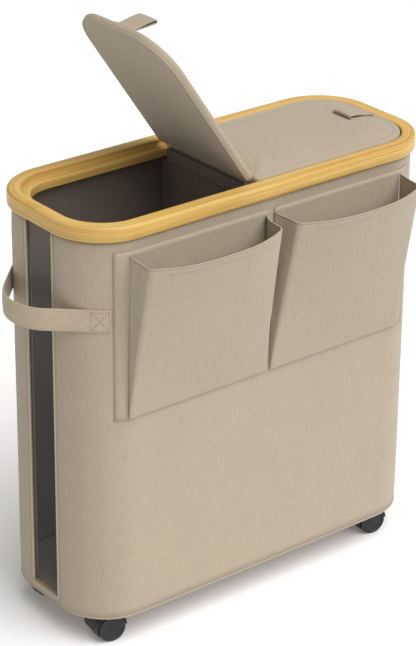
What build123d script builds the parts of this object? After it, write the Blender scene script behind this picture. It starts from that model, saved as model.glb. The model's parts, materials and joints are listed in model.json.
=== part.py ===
from build123d import *
import os
from math import cos, hypot, radians, sin

# Narrow rolling storage bin: a fabric body on a stiff lining, a bamboo rim, two padded lids that
# share a fold line, two slanted front pockets, a window strip and a strap handle at the left end,
# and four twin-wheel swivel casters.
# Millimetres, +Z up. The left end (window and strap) is -X and the pocket face is -Y.
# Everything is built about the centre of the body's plan and shifted once, on export, so that the
# origin is the centre of the whole object's footprint, on the floor.

# ---- driving dimensions -------------------------------------------------------------------
BODY_HX, BODY_HY, BODY_R = 242.0, 93.0, 62.0    # half length, half width, plan corner radius
HEM_Z, RIM_TOP, RIM_H = 36.0, 514.0, 18.0       # bottom hem, top of the bamboo, bamboo height
RIM_OVERHANG, BAND_W, LEDGE_W, REBATE = 5.0, 16.0, 10.0, 8.0
RIM_TOP_ROUND, RIM_FOOT_ROUND, LEDGE_ROUND = 3.0, 3.0, 2.0
FABRIC_T, BOARD_T, LINING_T, FILM_T = 1.5, 3.0, 1.2, 0.8
HEM_WRAP = 1.5                                  # how far the hem binding shows under the wall
BASE_Z, BASE_T, INSERT_T = 40.0, 6.0, 3.0       # base board's underside, its thickness, floor pad
INSERT_GAP = 0.5                                # round the loose floor pad

WINDOW_HY, SLOT_HY, FILM_HY = 23.0, 30.0, 29.0  # half widths: window, slot in the board, film
SILL_H, PIPING_W, TRIM_T = 7.5, 3.5, 0.8

FOLD_X = -9.0                                   # fold line between the lids
LID_T, LID_GAP, LID_ROUND = 11.5, 1.5, 5.0      # thickness, gap to the rim, rolled edge radius
LID_CORNER, LID_CORNER_MIN = 6.0, 1.5           # plan corner radius at the fold, cover and core
LID_REST = 55.5                                 # degrees the left lid stands open at rest
HINGE_LIFT = 0.4                                # height of the fold's axis over the lids' tops
SEAM_GAP = 0.6                                  # from the fold line to each lid's inner end
LIFT = 0.3                                      # clearance under a closed lid
CORE_INSET, COVER_T, LID_BOARD_T = 3.0, 1.0, 3.0
RAIL_HX, RAIL_H, WEB_HX = 7.0, 15.5, 0.2        # fixed bar under the fold, and the seam above it
WEB_GAP = 0.5                                   # from the seam's ends to the rim's ledge
DIVIDER_T, DIVIDER_SKIN = 5.0, 0.8

TAB_L, TAB_W, TAB_INSET, TAB_PLY = 32.0, 30.0, 14.0, 1.2
TAB_OPEN, TAB_ROOT_GAP = 5.0, 0.4               # outside height of the folded end, gap at the root
TAB_SLIT, TAB_LIFT = 0.6, 0.1                   # slit's height at its start, gap over the lid
TAB_LIE, TAB_STAND = 3.0, 61.0                  # slope of each tab over its lid, in degrees

STRAP_W, STRAP_T, STRAP_MID_Z = 26.0, 2.0, 405.0
STRAP_REACH = 35.0                              # how far the loop stands off the left end
STRAP_LEAVES, STRAP_ENDS = 45.0, 61.0           # degrees round the corner, from the end face

POCKET_X, POCKET_W, POCKET_TOP_W = 101.0, 186.0, 180.0
POCKET_Z0, POCKET_Z1, POCKET_DEPTH = 286.0, 476.0, 42.0
PANEL_T, GUSSET_T, BACK_T, BINDING_H = 1.5, 1.2, 1.0, 2.0
FLANGE_W, BACK_RISE, BACK_DROP = 15.0, 7.0, 0.5 # how far the back panel shows past the pocket
BACK_INNER = 2.0                                # the same at the pocket's inner side
MOUTH_FRONT, MOUTH_END, MOUTH_BACK = 2.2, 2.0, 2.0  # the binding's width along the mouth

CASTER_X, CASTER_Y, TRAIL = 197.0, 61.0, 6.0
CASTER_TURN = -10.0                             # degrees each caster is swivelled at rest
WHEEL_R, WHEEL_W, WEB_HALF = 17.0, 14.5, 4.0
HOOD_R, HOOD_IN_R, HOOD_HALF = 18.8, 17.6, 17.0
AXLE_R, AXLE_CLEAR, AXLE_HALF = 2.5, 0.06, 17.5
HOOD_LOW, HOOD_HIGH = -7.0, 0.5                 # fender's lower edges: trailing side, swivel side
HUB_WALL, BOSS_R, BOSS_LOW, SLEEVE_WALL = 3.0, 9.0, 12.0, 2.0
WHEEL_ROUND, DISH, DISH_RIM, HUB_R, WHEEL_GAP = 1.4, 0.7, 3.5, 4.5, 0.5
PLATE_R, PLATE_T, PIN_R, PIN_CLEAR, PIN_L = 17.0, 2.5, 3.0, 0.05, 13.0
PLATE_ROUND, PLATE_GAP, PIN_END_GAP, AXLE_END_GAP = 0.8, 0.4, 0.5, 0.3
SCREW_R, SCREW_HEAD_R, SCREW_HEAD_H, SCREW_L, SCREW_PITCH_R = 1.4, 2.6, 1.4, 7.0, 12.0
SCREW_HEAD_ROUND, SCREWS, SCREW_FIRST = 0.6, 3, 60.0
PAST = 5.0                                      # how far cutting shapes reach past what they cut

# ---- derived places -----------------------------------------------------------------------
SHELL_TOP = RIM_TOP - RIM_H
BASE_TOP = BASE_Z + BASE_T
LEDGE_TOP = RIM_TOP - REBATE
LID_Z = LEDGE_TOP + LIFT
LID_TOP = LID_Z + LID_T
HINGE_Z = LID_TOP + HINGE_LIFT
RIM_HX, RIM_HY, RIM_R = BODY_HX + RIM_OVERHANG, BODY_HY + RIM_OVERHANG, BODY_R + RIM_OVERHANG
BAND_IN = (RIM_HX - BAND_W, RIM_HY - BAND_W, RIM_R - BAND_W)
LEDGE_IN = tuple(v - LEDGE_W for v in BAND_IN)
CORNER_X, CORNER_Y = BODY_HX - BODY_R, BODY_HY - BODY_R
AXLE_Z = WHEEL_R
STRAP_OUT = BODY_HX + STRAP_REACH + STRAP_T / 2
POCKET_OUT = BODY_HY + POCKET_DEPTH + PANEL_T
# The footprint's middle in the body's own frame, and the shift that puts the origin there.
SHIFT = Vector((STRAP_OUT - RIM_HX) / 2, (POCKET_OUT - RIM_HY) / 2, 0)

nodes = {}


# ---- helpers ------------------------------------------------------------------------------
def block(x0, x1, y0, y1, z0, z1):
    """A box from its two corners."""
    return Pos((x0 + x1) / 2, (y0 + y1) / 2, (z0 + z1) / 2) * Box(x1 - x0, y1 - y0, z1 - z0)


def prism(hx, hy, r, z0, z1):
    """A rounded rectangle, centred on the body, between two heights."""
    return Pos(0, 0, z0) * extrude(RectangleRounded(2 * hx, 2 * hy, r), z1 - z0)


def ring(hx, hy, r, thick, z0, z1):
    """A wall of one thickness inside a rounded rectangle."""
    return prism(hx, hy, r, z0, z1) - prism(hx - thick, hy - thick, r - thick, z0, z1)


def inset(offset):
    """The body's plan, offset inwards."""
    return BODY_HX - offset, BODY_HY - offset, BODY_R - offset


def rod(radius, y0, y1):
    """A round bar along Y."""
    return Pos(0, (y0 + y1) / 2, 0) * Rot(90, 0, 0) * Cylinder(radius, abs(y1 - y0))


# ---- body ---------------------------------------------------------------------------------
def bamboo_rim():
    """Bent ring: a flat band outside, and a lower ledge inside that the lids rest on."""
    outer = prism(RIM_HX, RIM_HY, RIM_R, SHELL_TOP, RIM_TOP)
    top = outer.edges().group_by(Axis.Z)[-1]
    outer = fillet(top, RIM_TOP_ROUND)
    outer = fillet(outer.edges().group_by(Axis.Z)[0], RIM_FOOT_ROUND)
    opening = prism(*LEDGE_IN, SHELL_TOP, RIM_TOP)
    rebate = prism(*BAND_IN, LEDGE_TOP, RIM_TOP)
    rim = outer - opening - rebate
    inner_top = [e for e in rim.edges().group_by(Axis.Z)[-1] if on_outline(e, BAND_IN)]
    rim = fillet(inner_top, LEDGE_ROUND)
    ledge_top = [
        e for e in rim.edges() if abs(e.center().Z - LEDGE_TOP) < 0.01 and on_outline(e, LEDGE_IN)
    ]
    return fillet(ledge_top, LEDGE_ROUND)


def on_outline(edge, outline):
    """Whether an edge lies on a rounded rectangle's outline."""
    p = edge @ 0.5
    hx, hy, r = outline
    dx, dy = abs(p.X) - (hx - r), abs(p.Y) - (hy - r)
    if dx > 0 and dy > 0:
        return abs(hypot(dx, dy) - r) < 0.05
    return abs(max(dx, dy) - r) < 0.05


def shell():
    """Outer fabric, the four stiffener boards in it, and the lining."""
    far = BODY_HX + PAST
    window = block(-far, -CORNER_X, -WINDOW_HY, WINDOW_HY, BASE_TOP, SHELL_TOP)
    slot = block(-far, -CORNER_X, -SLOT_HY, SLOT_HY, BASE_TOP, SHELL_TOP)
    nodes["outer_fabric"] = ring(*inset(0), FABRIC_T, HEM_Z, SHELL_TOP) - window
    boards = ring(*inset(FABRIC_T), BOARD_T, HEM_Z, SHELL_TOP)
    middle = block(-CORNER_X, CORNER_X, -far, far, HEM_Z, SHELL_TOP)
    front = block(-CORNER_X, CORNER_X, -far, 0, HEM_Z, SHELL_TOP)
    left = block(-far, -CORNER_X, -far, far, HEM_Z, SHELL_TOP)
    nodes["front_board"] = boards & front
    nodes["back_board"] = boards & middle - front
    nodes["left_end_board"] = (boards & left) - slot
    nodes["right_end_board"] = boards - middle - left
    lining = ring(*inset(FABRIC_T + BOARD_T), LINING_T, BASE_TOP, SHELL_TOP)
    nodes["lining"] = lining - window
    nodes["hem_binding"] = ring(*inset(0), FABRIC_T + BOARD_T, HEM_Z - HEM_WRAP, HEM_Z)


def window_parts():
    """Clear film behind the opening, its two piped edges, and the sewn sill under it."""
    film_x = -BODY_HX + FABRIC_T
    nodes["window_film"] = block(film_x, film_x + FILM_T, -FILM_HY, FILM_HY, BASE_TOP, SHELL_TOP)
    face = -BODY_HX
    edge, sill_hy = WINDOW_HY, WINDOW_HY + PIPING_W
    spans = ((-sill_hy, -edge), (edge, sill_hy))
    nodes["window_piping"] = Part() + [
        block(face - TRIM_T, face, low, high, BASE_TOP, SHELL_TOP) for low, high in spans
    ]
    sill = block(face - TRIM_T, face, -sill_hy, sill_hy, BASE_TOP - SILL_H, BASE_TOP)
    nodes["window_sill"] = sill


def floor_and_divider():
    """Base board with pilot holes for the caster screws, the loose floor pad, and the divider."""
    base = prism(*inset(FABRIC_T + BOARD_T), BASE_Z, BASE_TOP)
    for spot in screw_spots():
        depth = SCREW_L - PLATE_T
        base -= spot * Pos(0, 0, BASE_Z + depth / 2) * Cylinder(SCREW_R, depth)
    nodes["base_board"] = base
    inner = FABRIC_T + BOARD_T + LINING_T
    nodes["floor_insert"] = prism(*inset(inner + INSERT_GAP), BASE_TOP, BASE_TOP + INSERT_T)
    half_y = BODY_HY - inner
    low, high = BASE_TOP + INSERT_T, LEDGE_TOP - RAIL_H
    half_x, s = DIVIDER_T / 2, DIVIDER_SKIN
    outer = block(FOLD_X - half_x, FOLD_X + half_x, -half_y, half_y, low, high)
    half_x, half_y = half_x - s, half_y - s
    core = block(FOLD_X - half_x, FOLD_X + half_x, -half_y, half_y, low + s, high - s)
    nodes["divider_cover"] = outer - core
    nodes["divider_board"] = core
    rail_y = LEDGE_IN[1]
    rail = block(FOLD_X - RAIL_HX, FOLD_X + RAIL_HX, -rail_y, rail_y, high, LEDGE_TOP)
    nodes["centre_rail"] = rail
    web_y = rail_y - WEB_GAP
    seam = block(FOLD_X - WEB_HX, FOLD_X + WEB_HX, -web_y, web_y, LEDGE_TOP, LID_TOP)
    nodes["fold_seam"] = seam


# ---- lids ---------------------------------------------------------------------------------
def lid_slab(side, offset, z0, z1, radius):
    """One lid's outline inside the rim, inset by an offset, with rolled top and bottom edges."""
    grow = LID_GAP + offset
    plan = prism(*(v - grow for v in BAND_IN), z0, z1)
    edge = FOLD_X + side * (SEAM_GAP + offset)
    far = side * RIM_HX
    slab = plan & block(min(edge, far), max(edge, far), -RIM_HY, RIM_HY, z0, z1)
    corners = [e for e in slab.edges().filter_by(Axis.Z) if abs(e.center().X - edge) < 0.01]
    slab = fillet(corners, max(LID_CORNER - offset, LID_CORNER_MIN))
    groups = slab.edges().group_by(Axis.Z)
    return fillet(groups[0] + groups[-1], radius)


def pull_tab(slope):
    """Folded fabric loop, rooted at the origin on the lid's top and leaning over it towards +X."""
    end, ply, half = TAB_L - TAB_OPEN / 2, TAB_PLY, TAB_OPEN / 2
    root = 2 * ply + TAB_ROOT_GAP
    outline = Polyline((0, 0), (end, 0), (end, TAB_OPEN), (0, root), (0, 0))
    flat = make_face(outline) + Pos(end, half) * Circle(half)
    start = 3 * ply
    slit = Polyline(
        (start, ply), (end, ply), (end, TAB_OPEN - ply), (start, ply + TAB_SLIT), (start, ply)
    )
    gap = make_face(slit) + Pos(end, half) * Circle(half - ply)
    loop = extrude(flat - gap, TAB_W / 2, both=True)
    return Rot(0, -slope, 0) * Rot(90, 0, 0) * loop


def lid(name, side, slope):
    """One lid, closed: cover, foam, board and pull tab."""
    cover = lid_slab(side, 0, LID_Z, LID_TOP, LID_ROUND)
    low, high = LID_Z + COVER_T, LID_TOP - COVER_T
    core = lid_slab(side, CORE_INSET, low, high, LID_ROUND - CORE_INSET)
    far = RIM_HX
    board_zone = block(-far, far, -far, far, low, low + LID_BOARD_T)
    tab_x = side * (BAND_IN[0] - LID_GAP - TAB_INSET)
    tab = pull_tab(slope)
    if side > 0:
        tab = Rot(0, 0, 180) * tab
    return {
        f"{name}_lid_cover": cover - core,
        f"{name}_lid_foam": core - board_zone,
        f"{name}_lid_board": core & board_zone,
        f"{name}_pull_tab": Pos(tab_x, 0, LID_TOP + TAB_LIFT) * tab,
    }


def lids():
    """The right lid lies closed; the left one is turned up about the fold line."""
    nodes.update(lid("right", 1, TAB_LIE))
    fold = Axis((FOLD_X, 0, HINGE_Z), (0, 1, 0))
    for name, solid in lid("left", -1, TAB_STAND).items():
        nodes[name] = solid.rotate(fold, LID_REST)


# ---- strap and pockets --------------------------------------------------------------------
def strap_handle():
    """Webbing sewn round both left corners, with its middle standing off the end as a loop."""
    radius = BODY_R + STRAP_T / 2
    leave, end = radians(STRAP_LEAVES), radians(STRAP_ENDS)

    def on_corner(angle):
        return Vector(-CORNER_X - radius * cos(angle), -CORNER_Y - radius * sin(angle))

    # From the corner a straight run leads to the loop's arc: both unknowns, the run and the
    # arc's radius, follow from the loop's apex.
    start = on_corner(leave)
    apex = -BODY_HX - STRAP_REACH
    gap_x, gap_y = start.X - apex, -start.Y
    s, c = sin(leave), cos(leave)
    bow = (gap_y * s - gap_x * c) / (s * s - (1 - c) * c)
    run = (gap_x - (1 - c) * bow) / s
    turn = Vector(start.X - run * s, start.Y + run * c)

    def mirrored(p):
        return Vector(p.X, -p.Y)

    middle = Vector(apex, 0)
    arcs = [
        ThreePointArc(on_corner(end), on_corner((end + leave) / 2), start),
        Line(start, turn),
        ThreePointArc(turn, middle, mirrored(turn)),
        Line(mirrored(turn), mirrored(start)),
        ThreePointArc(
            mirrored(start), mirrored(on_corner((end + leave) / 2)), mirrored(on_corner(end))
        ),
    ]
    path = Wire(arcs)
    section = Plane(origin=path @ 0, z_dir=path % 0, x_dir=(0, 0, 1)) * Rectangle(STRAP_W, STRAP_T)
    nodes["strap_handle"] = Pos(0, 0, STRAP_MID_Z) * sweep(section, path=path)


def trapezium(low, top, z0, z1):
    """An upright outline: its half widths at two heights."""
    return make_face(Polyline((-low, z0), (low, z0), (top, z1), (-top, z1), (-low, z0)))


def pocket(name, side):
    """Back panel on the wall, slanted front panel, two gussets, and the binding round the mouth."""
    mid = side * POCKET_X
    low, top = POCKET_W / 2, POCKET_TOP_W / 2
    wall = -BODY_HY - BACK_T
    height = POCKET_Z1 - POCKET_Z0
    upright = Plane(origin=(mid, wall, POCKET_Z0), x_dir=(1, 0, 0), z_dir=(0, -1, 0))
    outline = upright * trapezium(low, top, 0, height)
    column = extrude(outline, amount=POCKET_DEPTH + PAST) + extrude(outline, amount=-PAST)
    inside = upright * trapezium(low - GUSSET_T, top - GUSSET_T, -PAST, height + PAST)
    inside = extrude(inside, amount=POCKET_DEPTH + 2 * PAST) + extrude(inside, amount=-2 * PAST)

    def wedge(front):
        """Everything behind the front panel's plane, moved out by an offset."""
        depth, back = POCKET_DEPTH - BACK_T, wall + CORNER_Y
        foot = Polyline(
            (wall - front, POCKET_Z0), (wall - front - depth, POCKET_Z1), (back, POCKET_Z1),
            (back, POCKET_Z0), (wall - front, POCKET_Z0),
        )
        return extrude(Plane.YZ * make_face(foot), RIM_HX, both=True)

    proud = inset(-BACK_T)
    solid = (wedge(PANEL_T) & column) - prism(*proud, POCKET_Z0 - PAST, RIM_TOP)
    hollow = wedge(0)
    nodes[f"{name}_pocket_front"] = solid - hollow
    gussets = (solid & hollow) - inside
    both = sorted(gussets.solids(), key=lambda s: s.center().X)
    outer_index = 0 if side < 0 else 1
    nodes[f"{name}_pocket_outer_gusset"] = both[outer_index]
    nodes[f"{name}_pocket_inner_gusset"] = both[1 - outer_index]

    sheet = ring(*proud, BACK_T, POCKET_Z0 - BACK_DROP, POCKET_Z1 + BACK_RISE)
    ends = sorted((mid - side * (low + BACK_INNER), mid + side * (low + FLANGE_W)))
    nodes[f"{name}_pocket_back"] = sheet & block(*ends, -BODY_HY - PAST, -CORNER_Y, 0, RIM_TOP)

    front_y, above = wall - POCKET_DEPTH + BACK_T - PANEL_T, POCKET_Z1 + BINDING_H
    rim = block(mid - top, mid + top, front_y, wall - MOUTH_BACK, POCKET_Z1, above)
    end = top - MOUTH_END
    mouth = block(mid - end, mid + end, front_y + MOUTH_FRONT, wall, POCKET_Z1, above)
    nodes[f"{name}_pocket_binding"] = rim - mouth


# ---- casters ------------------------------------------------------------------------------
def caster_places():
    """Each caster's name and the place of its swivel axis, at its rest angle."""
    for end, sx in (("left", -1), ("right", 1)):
        for face, sy in (("front", -1), ("back", 1)):
            yield f"{face}_{end}_caster", Pos(sx * CASTER_X, sy * CASTER_Y, 0)


def screw_spots():
    """Three screws round each plate."""
    for _, place in caster_places():
        for k in range(SCREWS):
            yield place * Rot(0, 0, SCREW_FIRST + 360 * k / SCREWS) * Pos(SCREW_PITCH_R, 0, 0)


def caster_plate():
    """Round plate with its swivel pin, about the swivel axis."""
    plate = Pos(0, 0, BASE_Z - PLATE_T / 2) * Cylinder(PLATE_R, PLATE_T)
    plate = fillet(plate.edges().group_by(Axis.Z)[0], PLATE_ROUND)
    pin = Pos(0, 0, BASE_Z - PLATE_T - PIN_L / 2) * Cylinder(PIN_R, PIN_L)
    plate += pin
    hole = Pos(SCREW_PITCH_R, 0, BASE_Z - PLATE_T / 2) * Cylinder(SCREW_R, 2 * PLATE_T)
    for k in range(SCREWS):
        plate -= Rot(0, 0, SCREW_FIRST + 360 * k / SCREWS) * hole
    return plate


def caster_hood():
    """Fender over both wheels and the web between them, about the wheels' axle."""
    body = rod(HOOD_R, -HOOD_HALF, HOOD_HALF)
    for s in (-1, 1):
        body -= rod(HOOD_IN_R, s * WEB_HALF, s * (HOOD_HALF + PAST))
    # The fender ends level with the axle on the swivel side and lower on the trailing side.
    far = 2 * HOOD_R
    below = Polyline(
        (-far, HOOD_LOW), (0, HOOD_LOW), (0, HOOD_HIGH), (far, HOOD_HIGH), (far, -far),
        (-far, -far), (-far, HOOD_LOW),
    )
    body -= extrude(Plane.XZ * make_face(below), HOOD_HALF + PAST, both=True)
    body += rod(AXLE_R + HUB_WALL, -WEB_HALF, WEB_HALF)
    # The boss stands round the swivel pin, and inside the web a sleeve carries on down it.
    boss_top = BASE_Z - PLATE_T - PLATE_GAP - AXLE_Z
    boss = Pos(TRAIL, 0, (boss_top + BOSS_LOW) / 2) * Cylinder(BOSS_R, boss_top - BOSS_LOW)
    boss -= rod(HOOD_IN_R, -HOOD_HALF, -WEB_HALF) + rod(HOOD_IN_R, WEB_HALF, HOOD_HALF)
    bore_low = BASE_Z - PLATE_T - PIN_L - PIN_END_GAP - AXLE_Z
    bore_l, bore_mid = boss_top - bore_low, (boss_top + bore_low) / 2
    bore = Pos(TRAIL, 0, bore_mid) * Cylinder(PIN_R + PIN_CLEAR, bore_l)
    foot = SLEEVE_WALL / 2
    sleeve = Pos(TRAIL, 0, bore_mid - foot / 2) * Cylinder(PIN_R + SLEEVE_WALL, bore_l + foot)
    sleeve &= block(-far, far, -WEB_HALF, WEB_HALF, -far, far)
    return body + boss + sleeve - bore - rod(AXLE_R, -WEB_HALF - 1, WEB_HALF + 1)


def caster_wheel(s):
    """One of the two wheels, with a dished outer face and a blind bore for the axle."""
    inner = s * (WEB_HALF + WHEEL_GAP)
    outer = inner + s * WHEEL_W
    wheel = rod(WHEEL_R, inner, outer)
    wheel = fillet(wheel.edges().filter_by(GeomType.CIRCLE), WHEEL_ROUND)
    dish = rod(WHEEL_R - DISH_RIM, outer - s * DISH, outer + s)
    hub = rod(HUB_R, outer - s * DISH, outer)
    bore = rod(AXLE_R + AXLE_CLEAR, inner - s, s * (AXLE_HALF + AXLE_END_GAP))
    return wheel - (dish - hub) - bore


def casters():
    """Four casters, all swivelled the same way at rest."""
    hood, axle = caster_hood(), rod(AXLE_R, -AXLE_HALF, AXLE_HALF)
    for name, place in caster_places():
        at_axle = place * Rot(0, 0, CASTER_TURN) * Pos(-TRAIL, 0, AXLE_Z)
        nodes[f"{name}_plate"] = place * caster_plate()
        nodes[f"{name}_hood"] = at_axle * hood
        nodes[f"{name}_axle"] = at_axle * axle
        nodes[f"{name}_wheel_a"] = at_axle * caster_wheel(-1)
        nodes[f"{name}_wheel_b"] = at_axle * caster_wheel(1)
    screw = Pos(0, 0, BASE_Z - PLATE_T + SCREW_L / 2) * Cylinder(SCREW_R, SCREW_L)
    head = Pos(0, 0, BASE_Z - PLATE_T - SCREW_HEAD_H / 2) * Cylinder(SCREW_HEAD_R, SCREW_HEAD_H)
    screw += fillet(head.edges().group_by(Axis.Z)[0], SCREW_HEAD_ROUND)
    nodes["caster_screws"] = Part() + [spot * screw for spot in screw_spots()]


# ---- build and export ---------------------------------------------------------------------
nodes["bamboo_rim"] = bamboo_rim()
shell()
window_parts()
floor_and_divider()
lids()
strap_handle()
pocket("left", -1)
pocket("right", 1)
casters()

os.makedirs("parts", exist_ok=True)
for node, solid in nodes.items():
    export_step(Pos(*SHIFT) * solid, f"parts/{node}.step")

# The places that joints and mounts need, in the exported frame.
print("nodes", len(nodes), "shift", SHIFT)
print("fold line", FOLD_X + SHIFT.X, HINGE_Z, "rim top", RIM_TOP)
for name, place in caster_places():
    spot = place.position + SHIFT
    axle_way = radians(CASTER_TURN)
    axle_at = (spot.X - TRAIL * cos(axle_way), spot.Y - TRAIL * sin(axle_way), AXLE_Z)
    way = (-sin(axle_way), cos(axle_way))
    print(name, "swivel", (spot.X, spot.Y), "axle", axle_at, "along", way)
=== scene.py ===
"""Looks of the narrow rolling storage bin: bamboo rim, woven body with a window strip and a strap,
two padded lids, two slanted pockets and four twin-wheel casters. Metres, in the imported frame:
the left end (window and strap) is -X and the pocket face is -Y."""
import json
from contextlib import contextmanager
from math import cos, pi, radians, sin, sqrt

import bmesh
import bpy
import numpy as np
from mathutils import Matrix, Vector


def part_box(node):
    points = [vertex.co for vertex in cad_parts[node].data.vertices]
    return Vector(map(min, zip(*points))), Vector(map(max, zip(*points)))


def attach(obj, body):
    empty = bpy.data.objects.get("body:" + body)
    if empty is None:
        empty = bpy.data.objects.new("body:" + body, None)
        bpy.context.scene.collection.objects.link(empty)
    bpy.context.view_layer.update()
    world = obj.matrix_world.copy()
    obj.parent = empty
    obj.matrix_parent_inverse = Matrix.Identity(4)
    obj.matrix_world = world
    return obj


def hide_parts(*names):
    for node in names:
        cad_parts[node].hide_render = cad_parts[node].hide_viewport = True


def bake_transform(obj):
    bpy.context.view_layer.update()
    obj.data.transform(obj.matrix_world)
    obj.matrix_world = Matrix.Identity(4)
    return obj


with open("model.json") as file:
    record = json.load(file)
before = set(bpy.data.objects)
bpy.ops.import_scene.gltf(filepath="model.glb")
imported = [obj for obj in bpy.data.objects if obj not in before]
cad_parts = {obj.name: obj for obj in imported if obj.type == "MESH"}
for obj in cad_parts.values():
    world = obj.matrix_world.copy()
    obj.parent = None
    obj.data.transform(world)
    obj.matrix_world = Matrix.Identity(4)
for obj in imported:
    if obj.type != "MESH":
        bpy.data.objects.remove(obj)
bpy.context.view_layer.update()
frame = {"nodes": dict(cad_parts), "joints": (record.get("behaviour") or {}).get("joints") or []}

scene = bpy.context.scene

# ---- driving sizes, in metres ---------------------------------------------------------------
BODY_R = 0.062                      # plan radius of the body's corners
BAND_W, LEDGE_W, REBATE = 0.016, 0.010, 0.008
FABRIC_T, BOARD_T, LINING_T = 0.0015, 0.003, 0.0012
WINDOW_HY, PIPING_W = 0.023, 0.0035
LID_GAP, LID_OUTER_R, LID_FOLD_R = 0.0015, 0.0495, 0.006
LID_STITCH = 0.0092                 # stitched groove round the lid's top, in from the edge
LID_UNDER_SEAM = 0.0042             # where the lower panel is sewn in
CROWN = 0.0010
BORDER_DROP = 0.0018                # how far the lid's rolled border lies under its padded top
TAB_L, TAB_W, TAB_INSET, TAB_OPEN = 0.032, 0.030, 0.014, 0.005
TAB_LIE, TAB_STAND = radians(3), radians(61)
STRAP_W, STRAP_T, STRAP_REACH = 0.026, 0.002, 0.035
STRAP_LEAVES, STRAP_ENDS = radians(45), radians(61)
POCKET_BOW = 0.013                  # how far the mouth's middle stands off its two corners
FLANGE_W, FOOT_SPREAD = 0.015, 0.005
THREAD_R, STITCH_FILL = 0.00028, 0.74    # a thread's radius, and the part of its pitch a stitch fills
FLOOR_REACH, SKY_STRENGTH = 6.0, 0.43    # half the floor's side, and the even sky's light
KEY_AZIMUTH, KEY_ELEVATION, KEY_SPREAD, KEY_POWER = radians(16), radians(54), radians(64), 3.5


# ---- places, from the frame -----------------------------------------------------------------
def middle(low, high):
    return (low + high) / 2


body_low, body_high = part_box("outer_fabric")
rim_low, rim_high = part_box("bamboo_rim")
lining_low, lining_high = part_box("lining")
CENTRE = middle(body_low, body_high)
BODY_HX, BODY_HY = (body_high.x - body_low.x) / 2, (body_high.y - body_low.y) / 2
RIM_OVERHANG = rim_high.x - body_high.x
RIM_TOP, RIM_LOW = rim_high.z, rim_low.z
LEDGE_TOP = RIM_TOP - REBATE
HEM_Z, SHELL_TOP = body_low.z, body_high.z
BASE_TOP = lining_low.z
joints = {j["name"]: j for j in frame["joints"]}
HINGE = Vector(joints["left_lid_hinge"]["pos_m"])
UP, OUT_LEFT = (0, 0, 1), (-1, 0, 0)
LID_REST = -radians(joints["left_lid_hinge"]["range_deg"][0])
right_low, right_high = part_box("right_lid_cover")
LID_Z, LID_TOP = right_low.z, right_high.z
LID_T = LID_TOP - LID_Z
LID_END_GAP = right_low.x - HINGE.x
BAND_IN = BODY_HX + RIM_OVERHANG - BAND_W, BODY_HY + RIM_OVERHANG - BAND_W


def toward(azimuth, elevation):
    """The unit vector from the object to a viewpoint; azimuth 0 looks along +Y."""
    return Vector((sin(azimuth) * cos(elevation), -cos(azimuth) * cos(elevation), sin(elevation)))


def camera():
    """The reference view: from the front left, a little above."""
    azimuth, elevation, roll, distance = radians(-38.75), radians(25.53), radians(0.59), 2.7732
    target = Vector((CENTRE.x - 0.01039, CENTRE.y, 0.31257))
    back = toward(azimuth, elevation)
    right = Vector((cos(azimuth), sin(azimuth), 0))
    up = back.cross(right)
    turned = cos(roll) * right + sin(roll) * up
    upright = -sin(roll) * right + cos(roll) * up
    data = bpy.data.cameras.new("view")
    data.sensor_width = 36.0
    data.lens = 135.2
    data.clip_start, data.clip_end = 0.1, 30
    made = bpy.data.objects.new("view", data)
    matrix = Matrix((turned, upright, back)).transposed().to_4x4()
    matrix.translation = target + back * distance
    made.matrix_world = matrix
    scene.collection.objects.link(made)
    scene.camera = made


camera()


# ---- mesh helpers ---------------------------------------------------------------------------
def add_object(name, data, finish, body):
    """A new object with one material, riding on a body."""
    made = bpy.data.objects.new(name, data)
    scene.collection.objects.link(made)
    data.materials.append(finishes[finish])
    if body:
        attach(made, body)
    return made


def line_of(*coordinates):
    """Points from coordinates that are arrays or single numbers."""
    return np.stack(np.broadcast_arrays(*coordinates), axis=-1)


def arc_lengths(points, closed=False):
    """Distances along a path from its first point, round to it again when closed."""
    points = np.vstack([points, points[:1]]) if closed else points
    return np.concatenate([[0], np.cumsum(np.linalg.norm(np.diff(points, axis=0), axis=1))])


def unit(vectors):
    return vectors / np.linalg.norm(vectors, axis=1)[:, None]


def finished(made, slot, *nodes):
    """Hides the CAD nodes that a piece stands for. Its slot is not used."""
    if nodes:
        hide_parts(*nodes)
    return made


@contextmanager
def editing(made):
    """A piece's mesh as a bmesh, which is written back with smooth shading."""
    bm = bmesh.new()
    bm.from_mesh(made.data)
    bm.verts.ensure_lookup_table()
    yield bm
    bm.to_mesh(made.data)
    bm.free()
    made.data.shade_smooth()


def cap_ends(bm, rows, columns):
    """Closes the first and last ring of a tube-like grid."""
    for row in (0, rows - 1):
        bm.faces.new([bm.verts[row * columns + j] for j in range(columns)])


def densify(outline, step):
    """More points along a closed outline, no further apart than about one step."""
    dense = []
    for p, q in zip(outline, np.roll(outline, -1, axis=0)):
        pieces = max(1, round(np.linalg.norm(q - p) / step))
        dense += [p + (q - p) * t / pieces for t in range(pieces)]
    return np.array(dense)


def grid(name, points, uv, finish, body="bin", wrap_u=False, wrap_v=False, keep=None):
    """A quad mesh from a (rows, columns, 3) array, with a UV map in metres."""
    rows, columns = points.shape[:2]
    faces, corners = [], []
    for i in range(rows if wrap_v else rows - 1):
        for j in range(columns if wrap_u else columns - 1):
            if keep is not None and not keep[i, j]:
                continue
            down, along = (i + 1) % rows, (j + 1) % columns
            faces.append((i * columns + j, i * columns + along, down * columns + along, down * columns + j))
            corners += [uv[i, j], uv[i, j + 1], uv[i + 1, j + 1], uv[i + 1, j]]
    mesh = bpy.data.meshes.new(name)
    mesh.from_pydata(points.reshape(-1, 3).tolist(), [], faces)
    layer = mesh.uv_layers.new(name="weave")
    layer.data.foreach_set("uv", np.array(corners, np.float32).ravel())
    mesh.shade_smooth()
    return add_object(name, mesh, finish, body)


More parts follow.
